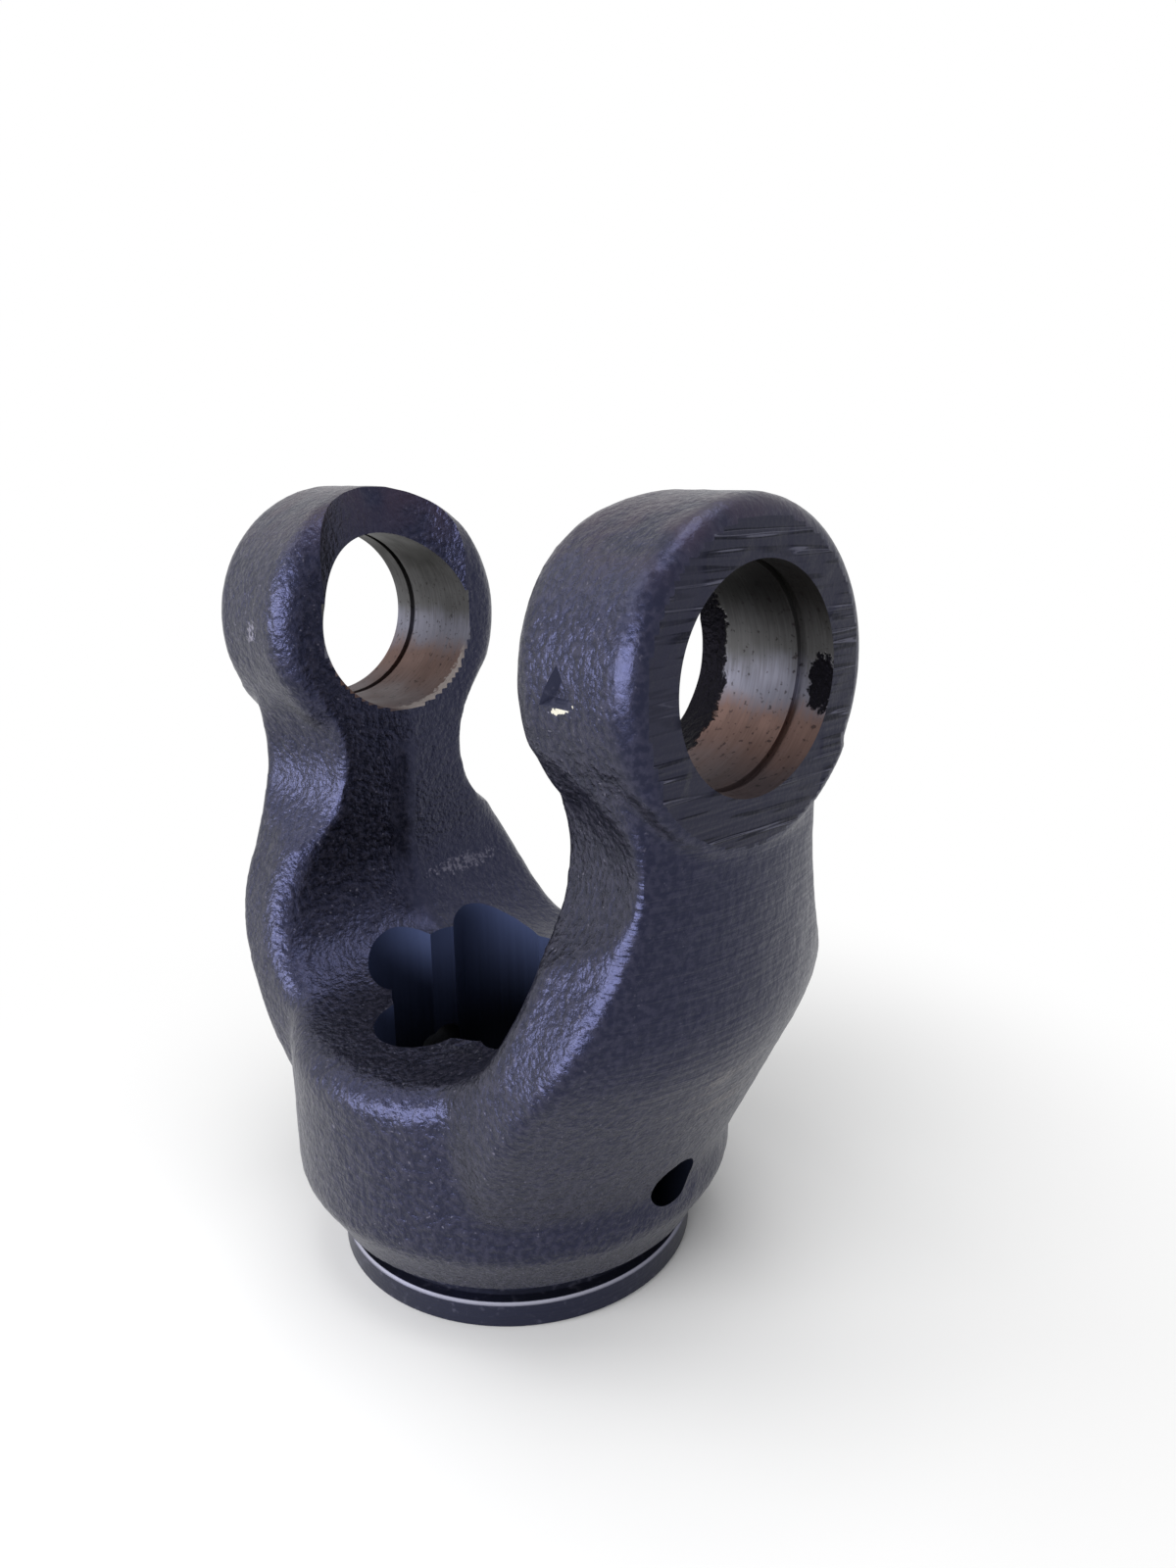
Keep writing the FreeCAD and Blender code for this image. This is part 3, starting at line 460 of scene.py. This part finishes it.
def broachedCoat():
    # smooth walls of the lobed bore, blue-black with faint lengthwise lines, with painted shade darkening
    # them with depth
    material, tree, shader, place = newMaterial("broachedBoreBlackCoat")
    lines = node(tree, "Mapping", {"Vector": place, "Scale": [grain(size) for size in starCoat["line"]]})
    line = node(tree, "TexNoise", {"Vector": lines, "Scale": 1.0, "Detail": 1.0})
    height = node(tree, "Math", {0: line, 1: starCoat["lineHeight"]}, operation="MULTIPLY")
    bump = node(tree, "Bump", {"Height": height, "Strength": 1.0, "Distance": 1.0})
    # painted shade: the walls darken from the mouth down into the bore, where less light reaches, and are
    # paler at the mouth
    upper = node(tree, "SeparateXYZ", {"Vector": place}).outputs["Z"]
    upper = node(tree, "Math", {0: line, 1: starCoat["shadeWander"], 2: upper}, operation="MULTIPLY_ADD")
    start, full = starCoat["paintedShadeHeights"]
    share = node(tree, "MapRange", {0: upper, 1: start, 2: full}, **eased)
    shades = {6: linear(starCoat["deep"]), 7: linear(starCoat["paintedLightPale"])}
    colour = node(tree, "Mix", {0: share, **shades}, **coloured)
    connect(tree, shader, colour=colour, bump=bump)
    shader.inputs["Roughness"].default_value = starCoat["rough"]
    shader.inputs["Specular Tint"].default_value = starCoat["tint"]
    shader.inputs["Specular IOR Level"].default_value = starCoat["level"]
    return material


# Forging
forging = {
    "voxel": 0.95 * mm, "softening": 5, "dents": 0.3 * mm, "dentSize": 4 * mm, "edgeAngle": 32,
    "boreHeight": 119.8 * mm, "boreRadius": 17.5 * mm, "earStart": 25 * mm, "land": 60.25 * mm,
    "ringStart": 53.25 * mm, "ringEnd": 55.15 * mm, "ringRadius": 18.4 * mm,
    "starRoot": 23.7 * mm, "starReach": 21.3 * mm, "starLobe": 9.2 * mm, "starCrest": 30.5 * mm,
    "starMouth": 55 * mm, "starTop": 60 * mm, "lobes": 6, "pinHeight": 28.2 * mm, "pinRadius": 5.0 * mm,
    "neckRadius": 37.7 * mm, "neckFoot": -2 * mm, "neckTop": 10.6 * mm, "footTop": 10.5 * mm,
    "hubInside": 31 * mm, "facer": 40 * mm,
    "earRadius": 26.8 * mm, "gap": 31.3 * mm, "draft": math.tan(math.radians(5.5)),
    "rimDepth": 13 * mm, "rimRound": 3.6, "rimOver": 3, "rimSteps": 6,  # round and over are in mm
    "reliefFoot": 118 * mm, "reliefTop": 148 * mm,
    "reliefLow": (32.0 * mm, 5.5 * mm), "reliefHigh": (21.9 * mm, 19.2 * mm),  # radius, and place in X
    # turned foot, radius and height in mm
    "foot": ((20, 0), (34.9, 0), (35.4, 0.5), (35.4, 4.8), (34.9, 5.3), (33.0, 5.3), (33.0, 10.9),
             (20, 10.9)),
    # how far tools reach past the forging, and how exactly faces are told apart
    "below": -5 * mm, "aside": 60 * mm, "beyond": 70 * mm, "landCut": 0.06 * mm, "landSlack": 0.1 * mm,
    "slack": 0.02 * mm, "landFlat": 0.98, "cadWall": 0.2, "boreWall": 0.1,
}
earFill = {
    "over": 2 * mm, "end": 46 * mm, "under": 0.35 * mm, "inset": 0.12 * mm,
    "round": 5.5 * mm, "steps": 6, "edgeAngle": 50,
}
boreMiddle = (0, forging["boreHeight"])
pinMiddle = (0, forging["pinHeight"])


def onAxis(spot, height):
    # distance from an axis along X
    return math.hypot(spot.y, spot.z - height)


def machined(spots):
    # faces of ear bores, grooves and pin hole, judged by all their corners
    bores = all(abs(spot.x) > forging["earStart"] and (
        onAxis(spot, forging["boreHeight"]) < forging["ringRadius"] + forging["slack"]) for spot in spots)
    pin = all(onAxis(spot, forging["pinHeight"]) < forging["pinRadius"] + forging["slack"]
              for spot in spots)
    return bores or pin


def lobed(face, spots):
    # walls of the lobed bore
    crest = forging["starCrest"] + forging["slack"]
    inStar = all(math.hypot(spot.x, spot.y) < crest for spot in spots)
    return inStar and abs(face.normal.z) < forging["cadWall"] and face.center.z < forging["starTop"]


pick(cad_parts["yoke"])
bpy.ops.object.duplicate()
yoke = bpy.context.object
yoke.name = "yokeForging"
pick(yoke)
bpy.ops.object.mode_set(mode="EDIT")
bpy.ops.mesh.select_all(action="SELECT")
bpy.ops.mesh.remove_doubles(threshold=1e-5)
bpy.ops.mesh.normals_make_consistent(inside=False)
bpy.ops.mesh.select_all(action="DESELECT")
bpy.ops.object.mode_set(mode="OBJECT")
# the machined holes are closed first, so that the raw forging can be shaped and then machined
corners = yoke.data.vertices
for face in yoke.data.polygons:
    spots = [corners[number].co for number in face.vertices]
    face.select = machined(spots) or lobed(face, spots)
bpy.ops.object.mode_set(mode="EDIT")
bpy.ops.mesh.select_mode(type="FACE")
bpy.ops.mesh.delete(type="FACE")
bpy.ops.mesh.select_mode(type="VERT")
bpy.ops.mesh.select_all(action="SELECT")
bpy.ops.mesh.fill_holes(sides=0)
bpy.ops.mesh.normals_make_consistent(inside=False)
bpy.ops.object.mode_set(mode="OBJECT")
neckFill = rod("neckFill", forging["neckRadius"], forging["neckFoot"], forging["neckTop"], "Z")
combine(yoke, neckFill, "UNION")
for side in (-1, 1):
    # ear without its relief, which is cut again as narrow as the bore
    ends = sorted((side * (forging["gap"] - earFill["over"]), side * earFill["end"]))
    fill = rod("earFill", forging["earRadius"] - earFill["under"], *ends, middle=boreMiddle)
    for lean in (-forging["draft"], forging["draft"]):
        trim(fill, (side * (forging["gap"] + earFill["inset"]), 0, 0), (-side, lean, 0))
    modify(fill, "BEVEL", width=earFill["round"], segments=earFill["steps"], limit_method="ANGLE",
           angle_limit=math.radians(earFill["edgeAngle"]))
    combine(yoke, fill, "UNION")
for side in (-1, 1):
    # wider rounding of the ear's outer rim
    rim, top = forging["earRadius"] / mm, forging["land"] / mm
    curve, over = forging["rimRound"], forging["rimOver"]
    turns = [math.radians(90 / forging["rimSteps"] * step) for step in range(forging["rimSteps"] + 1)]
    arc = [(rim - curve * (1 - math.cos(turn)), top - curve * (1 - math.sin(turn))) for turn in turns]
    outside = [(rim - curve, top + over), (rim + over, top + over)]
    ring = lathe("rimTool", [(rim + over, top - curve), *arc, *outside])
    ring.rotation_euler = (0, side * math.pi / 2, 0)
    ring.location = (0, 0, forging["boreHeight"])
    trim(settle(ring), (0, 0, forging["boreHeight"] - forging["rimDepth"]), (0, 0, -1))
    combine(yoke, ring, "DIFFERENCE")
modify(yoke, "REMESH", mode="VOXEL", voxel_size=forging["voxel"], use_smooth_shade=True)
print("raw forging", len(yoke.data.vertices))

# beside a land the softening fades over 0.3 mm and the dents over 6 mm, so that its edge stays even
skin = {
    "fades": {"soft": 0.3 * mm, "dented": 6 * mm}, "footEdge": 11.5 * mm, "footFade": 2 * mm,
    "innerWide": 44 * mm, "innerLow": 60 * mm, "innerShare": 0.7,
}


def skinShare(spot, fade):
    # 1 on free forged skin, 0 at the lands and the foot, less inside where edges stay crisper
    free = min((forging["land"] - abs(spot.x)) / fade, (spot.z - skin["footEdge"]) / skin["footFade"], 1)
    inside = abs(spot.x) < skin["innerWide"] and spot.z > skin["innerLow"]
    return max(0.0, free) * (skin["innerShare"] if inside else 1.0)


for name, fade in skin["fades"].items():
    group = yoke.vertex_groups.new(name=name)
    for vertex in yoke.data.vertices:
        share = skinShare(vertex.co, fade)
        if share > 0:
            group.add([vertex.index], share, "REPLACE")
modify(yoke, "SMOOTH", factor=0.5, iterations=forging["softening"], vertex_group="soft")
lumps = bpy.data.textures.new("lumps", "CLOUDS")
lumps.noise_scale = forging["dentSize"]
lumps.noise_depth = 2
modify(yoke, "DISPLACE", texture=lumps, texture_coords="LOCAL", strength=forging["dents"], mid_level=1.0,
       vertex_group="dented")
print("skin softened and dented")

# machining
for side in (-1, 1):
    ends = sorted((side * (forging["land"] - forging["landCut"]), side * forging["beyond"]))
    combine(yoke, rod("facer", forging["facer"], *ends, middle=boreMiddle, sides=64), "DIFFERENCE")
for side in (-1, 1):
    # relief above a bore: a slanted cone, so that its width stays the same while it gets deeper
    (lowRadius, lowPlace), (highRadius, highPlace) = forging["reliefLow"], forging["reliefHigh"]
    halfway = (forging["reliefTop"] + forging["reliefFoot"]) / 2
    deselectAll()
    bpy.ops.mesh.primitive_cone_add(
        vertices=192, radius1=lowRadius, radius2=highRadius,
        depth=forging["reliefTop"] - forging["reliefFoot"], location=(0, 0, halfway))
    relief = settle(bpy.context.object)
    for vertex in relief.data.vertices:
        vertex.co.x += side * (highPlace if vertex.co.z > halfway else lowPlace)
    combine(yoke, relief, "DIFFERENCE")
below, aside, beyond = forging["below"], forging["aside"], forging["beyond"]
combine(yoke, rod("footTrim", aside, below, forging["footTop"], "Z"), "DIFFERENCE")
combine(yoke, lathe("foot", forging["foot"]), "UNION")
combine(yoke, rod("starTool", forging["starRoot"], below, forging["starTop"], "Z"), "DIFFERENCE")
for place in range(forging["lobes"]):
    angle = math.radians(360 / forging["lobes"] * (place + 0.5))
    middle = (forging["starReach"] * math.cos(angle), forging["starReach"] * math.sin(angle))
    tool = rod("lobeTool", forging["starLobe"], below, forging["starTop"], "Z", middle, sides=96)
    combine(yoke, tool, "DIFFERENCE")
combine(yoke, rod("boreTool", forging["boreRadius"], -beyond, beyond, middle=boreMiddle, sides=256),
        "DIFFERENCE")
for side in (-1, 1):
    ends = sorted((side * forging["ringStart"], side * forging["ringEnd"]))
    combine(yoke, rod("ringTool", forging["ringRadius"], *ends, middle=boreMiddle), "DIFFERENCE")
combine(yoke, rod("pinTool", forging["pinRadius"], -aside, aside, middle=pinMiddle, sides=96),
        "DIFFERENCE")

# stamped triangle on the side of one ear, in mm
mark = {
    "place": (45.3, -26.7, 119.6), "outer": 7.3, "inner": 1.8, "depth": 2.8, "around": 6, "front": 0.85,
}
markPlace = Vector(mark["place"]) * mm
deselectAll()
bpy.ops.mesh.primitive_cone_add(
    vertices=3, radius1=mark["inner"] * mm, radius2=mark["outer"] * mm, depth=mark["depth"] * mm,
    location=[part * mm for part in mark["place"]], rotation=(math.pi / 2, 0, 0))
combine(yoke, settle(bpy.context.object), "DIFFERENCE")
print("machined", len(yoke.data.vertices))

finishes = (forgedSkin, boredSteel, groundLand, turnedCoat, broachedCoat)
corners = yoke.data.vertices


def finishOf(face):
    # which finish a face has, by its place and the way it faces
    spot, normal, slack = face.center, face.normal, forging["slack"]
    fromShaft = math.hypot(spot.x, spot.y)
    fromBore = [onAxis(corners[number].co, forging["boreHeight"]) for number in face.vertices]
    fromPin = [onAxis(corners[number].co, forging["pinHeight"]) for number in face.vertices]
    inEar = abs(spot.x) > forging["earStart"] and min(fromBore) > forging["boreRadius"] - slack
    if inEar and max(fromBore) < forging["ringRadius"] + slack:
        return boredSteel
    if abs(spot.x) > forging["land"] - forging["landSlack"] and abs(normal.x) > forging["landFlat"]:
        return groundLand
    onFoot = spot.z < forging["neckTop"] and fromShaft > forging["hubInside"]
    onMark = (spot - markPlace).length < mark["around"] * mm and abs(normal.y) < mark["front"]
    if onFoot or onMark:
        return turnedCoat
    onWall = fromShaft < forging["hubInside"] and abs(normal.z) < forging["boreWall"]
    if max(fromPin) < forging["pinRadius"] + slack or (onWall and spot.z < forging["starMouth"]):
        return broachedCoat
    return forgedSkin


yoke.data.materials.clear()
for finish in finishes:
    yoke.data.materials.append(finish())
for face in yoke.data.polygons:
    face.material_index = finishes.index(finishOf(face))

pick(yoke)
bpy.ops.object.shade_smooth_by_angle(angle=math.radians(forging["edgeAngle"]))
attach(yoke, "root")
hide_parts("yoke")
print("yoke ready", len(yoke.data.polygons))

# Studio
studio = {
    "place": (0.16285, -0.12861, 0.15017), "turn": 47.44, "down": 15.67, "roll": -0.59, "lens": 26.14,
    "world": 0.35, "paper": 0.82, "near": 0.06, "far": 0.19,  # lit floor within near, white beyond far
    "middle": (0, 0, 0.075),  # what the lamps point at
    "floorRadius": 3, "floorHeight": -0.0002, "paperRough": 0.9, "paperLevel": 0.2,
}

cameraData = bpy.data.cameras.new("camera")
cameraData.lens = studio["lens"]
cameraData.sensor_width = 36
cameraData.clip_start = 0.01
camera = bpy.data.objects.new("camera", cameraData)
bpy.context.scene.collection.objects.link(camera)
camera.location = studio["place"]
camera.rotation_mode = "QUATERNION"
across = Quaternion((0, 0, 1), math.radians(studio["turn"]))
tilted = Quaternion((1, 0, 0), math.radians(90 - studio["down"]))
camera.rotation_quaternion = across @ tilted @ Quaternion((0, 0, 1), math.radians(studio["roll"]))
bpy.context.scene.camera = camera


def seenDirectly(tree):
    # 1 for what the camera and reflections see, 0 for what lights the object
    path = node(tree, "LightPath").outputs
    seen = node(tree, "Math", {0: path["Is Camera Ray"], 1: path["Is Glossy Ray"]}, operation="MAXIMUM")
    return node(tree, "Math", {0: seen, 1: path["Is Transmission Ray"]}, operation="MAXIMUM")


world = bpy.data.worlds.new("studio")
bpy.context.scene.world = world
world.use_nodes = True
tree = world.node_tree
white = tree.nodes["Background"]
white.inputs["Color"].default_value = (1, 1, 1, 1)
white.inputs["Strength"].default_value = 1.0
soft = node(tree, "Background", {"Color": (1, 1, 1, 1), "Strength": studio["world"]})
mixed = node(tree, "MixShader", {0: seenDirectly(tree), 1: soft, 2: white})
tree.links.new(mixed.outputs["Shader"], tree.nodes["World Output"].inputs["Surface"])

# pale floor: paper round the yoke, running out to the white background
deselectAll()
bpy.ops.mesh.primitive_circle_add(
    vertices=96, radius=studio["floorRadius"], fill_type="NGON", location=(0, 0, studio["floorHeight"]))
floor = settle(bpy.context.object)
floor.name = "floor"
paper, tree, shader, place = newMaterial("paleStudioPaper")
shader.inputs["Base Color"].default_value = (studio["paper"], studio["paper"], studio["paper"], 1)
shader.inputs["Roughness"].default_value = studio["paperRough"]
shader.inputs["Specular IOR Level"].default_value = studio["paperLevel"]
reach = node(tree, "VectorMath", {0: place}, operation="LENGTH")
outside = node(tree, "MapRange", {0: reach, 1: studio["near"], 2: studio["far"]}, **eased)
glow = node(tree, "Emission", {"Color": (1, 1, 1, 1), "Strength": 1.0})
share = node(tree, "Math", {0: seenDirectly(tree), 1: outside}, operation="MULTIPLY")
mixed = node(tree, "MixShader", {0: share, 1: shader, 2: glow})
tree.links.new(mixed.outputs["Shader"], tree.nodes["Material Output"].inputs["Surface"])
floor.data.materials.append(paper)


def lamp(name, power, wide, high, place):
    data = bpy.data.lights.new(name, "AREA")
    data.energy = power
    data.shape = "RECTANGLE"
    data.size = wide
    data.size_y = high
    made = bpy.data.objects.new(name, data)
    bpy.context.scene.collection.objects.link(made)
    made.location = place
    made.rotation_mode = "QUATERNION"
    made.rotation_quaternion = (Vector(studio["middle"]) - Vector(place)).to_track_quat("-Z", "Y")


# a wide low softbox gives the long soft highlights, as a window would
lamp("softbox", 15, 1.05, 0.42, (0.05, -0.80, 0.22))
lamp("high", 1.2, 0.4, 0.4, (-0.40, -0.42, 0.70))
lamp("top", 2.8, 0.5, 0.5, (0.10, 0.0, 0.85))
print("studio ready")

bpy.context.scene.view_settings.view_transform = "Standard"
bpy.context.view_layer.update()
